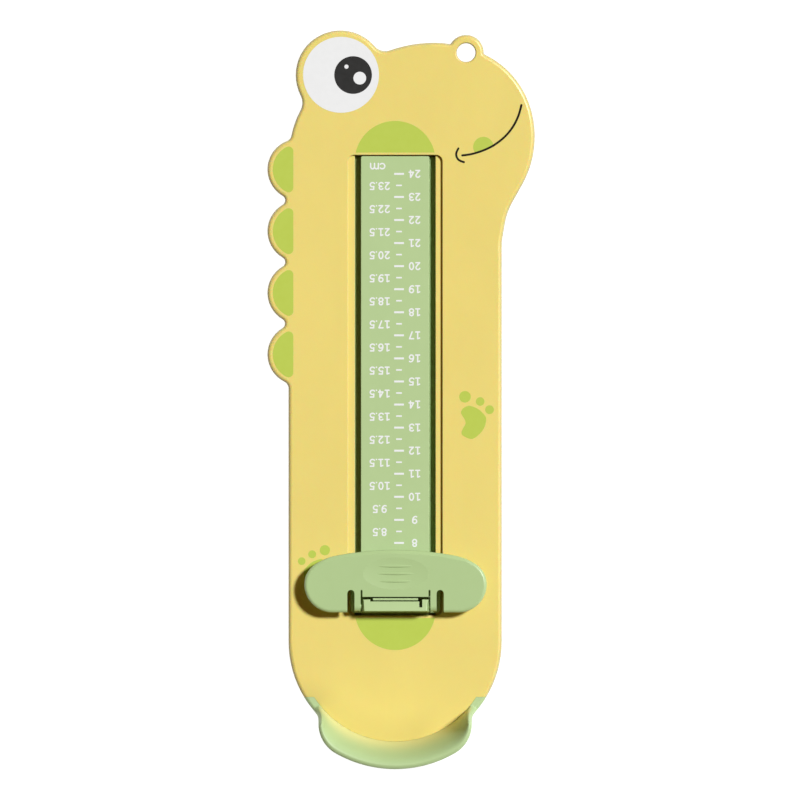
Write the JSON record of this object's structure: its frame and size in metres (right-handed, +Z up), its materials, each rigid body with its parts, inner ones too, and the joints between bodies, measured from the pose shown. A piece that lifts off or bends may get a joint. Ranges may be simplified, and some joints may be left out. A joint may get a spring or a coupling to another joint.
{
  "type": "foot measuring device",
  "caption": "Flat animal-shaped foot gauge with a raised heel cup, a centimetre scale rail, and a slider whose toe stop folds flat or stands upright.",
  "frame": {"origin": "middle of the whole outline, on the resting plane under the anti-slip pads", "axes": "+Y along the scale from the heel cup to the head, +Z up from the plate, +X to the snout side"},
  "size_m": [0.1159, 0.3199, 0.0328],
  "materials": {
    "yellow_plastic": "satin moulded plastic, fine texture",
    "green_plastic": "satin moulded plastic, fine texture",
    "screw_steel": "zinc plated",
    "pad_rubber": "matt"
  },
  "bodies": {
    "base": {"top_shell": "yellow_plastic", "bottom_cover": "yellow_plastic", "scale_rail": "green_plastic", "heel_cup": "green_plastic", "case_screws": "screw_steel", "heel_cup_screws": "screw_steel", "head_pad_left": "pad_rubber", "head_pad_right": "pad_rubber", "heel_pad_left": "pad_rubber", "heel_pad_right": "pad_rubber"},
    "slider": {"slider_carriage": "green_plastic"},
    "toe_stop": {"toe_flap": "green_plastic"}
  },
  "joints": [
    {"name": "slider_travel", "type": "slide", "parent": "base", "child": "slider", "axis": [0, 1, 0], "range_m": [0, 0.181]},
    {"name": "toe_flap_hinge", "type": "hinge", "parent": "slider", "child": "toe_stop", "pos_m": [-0.00241, -0.0895, 0.0151], "axis": [1, 0, 0], "range_deg": [0, 90]}
  ]
}
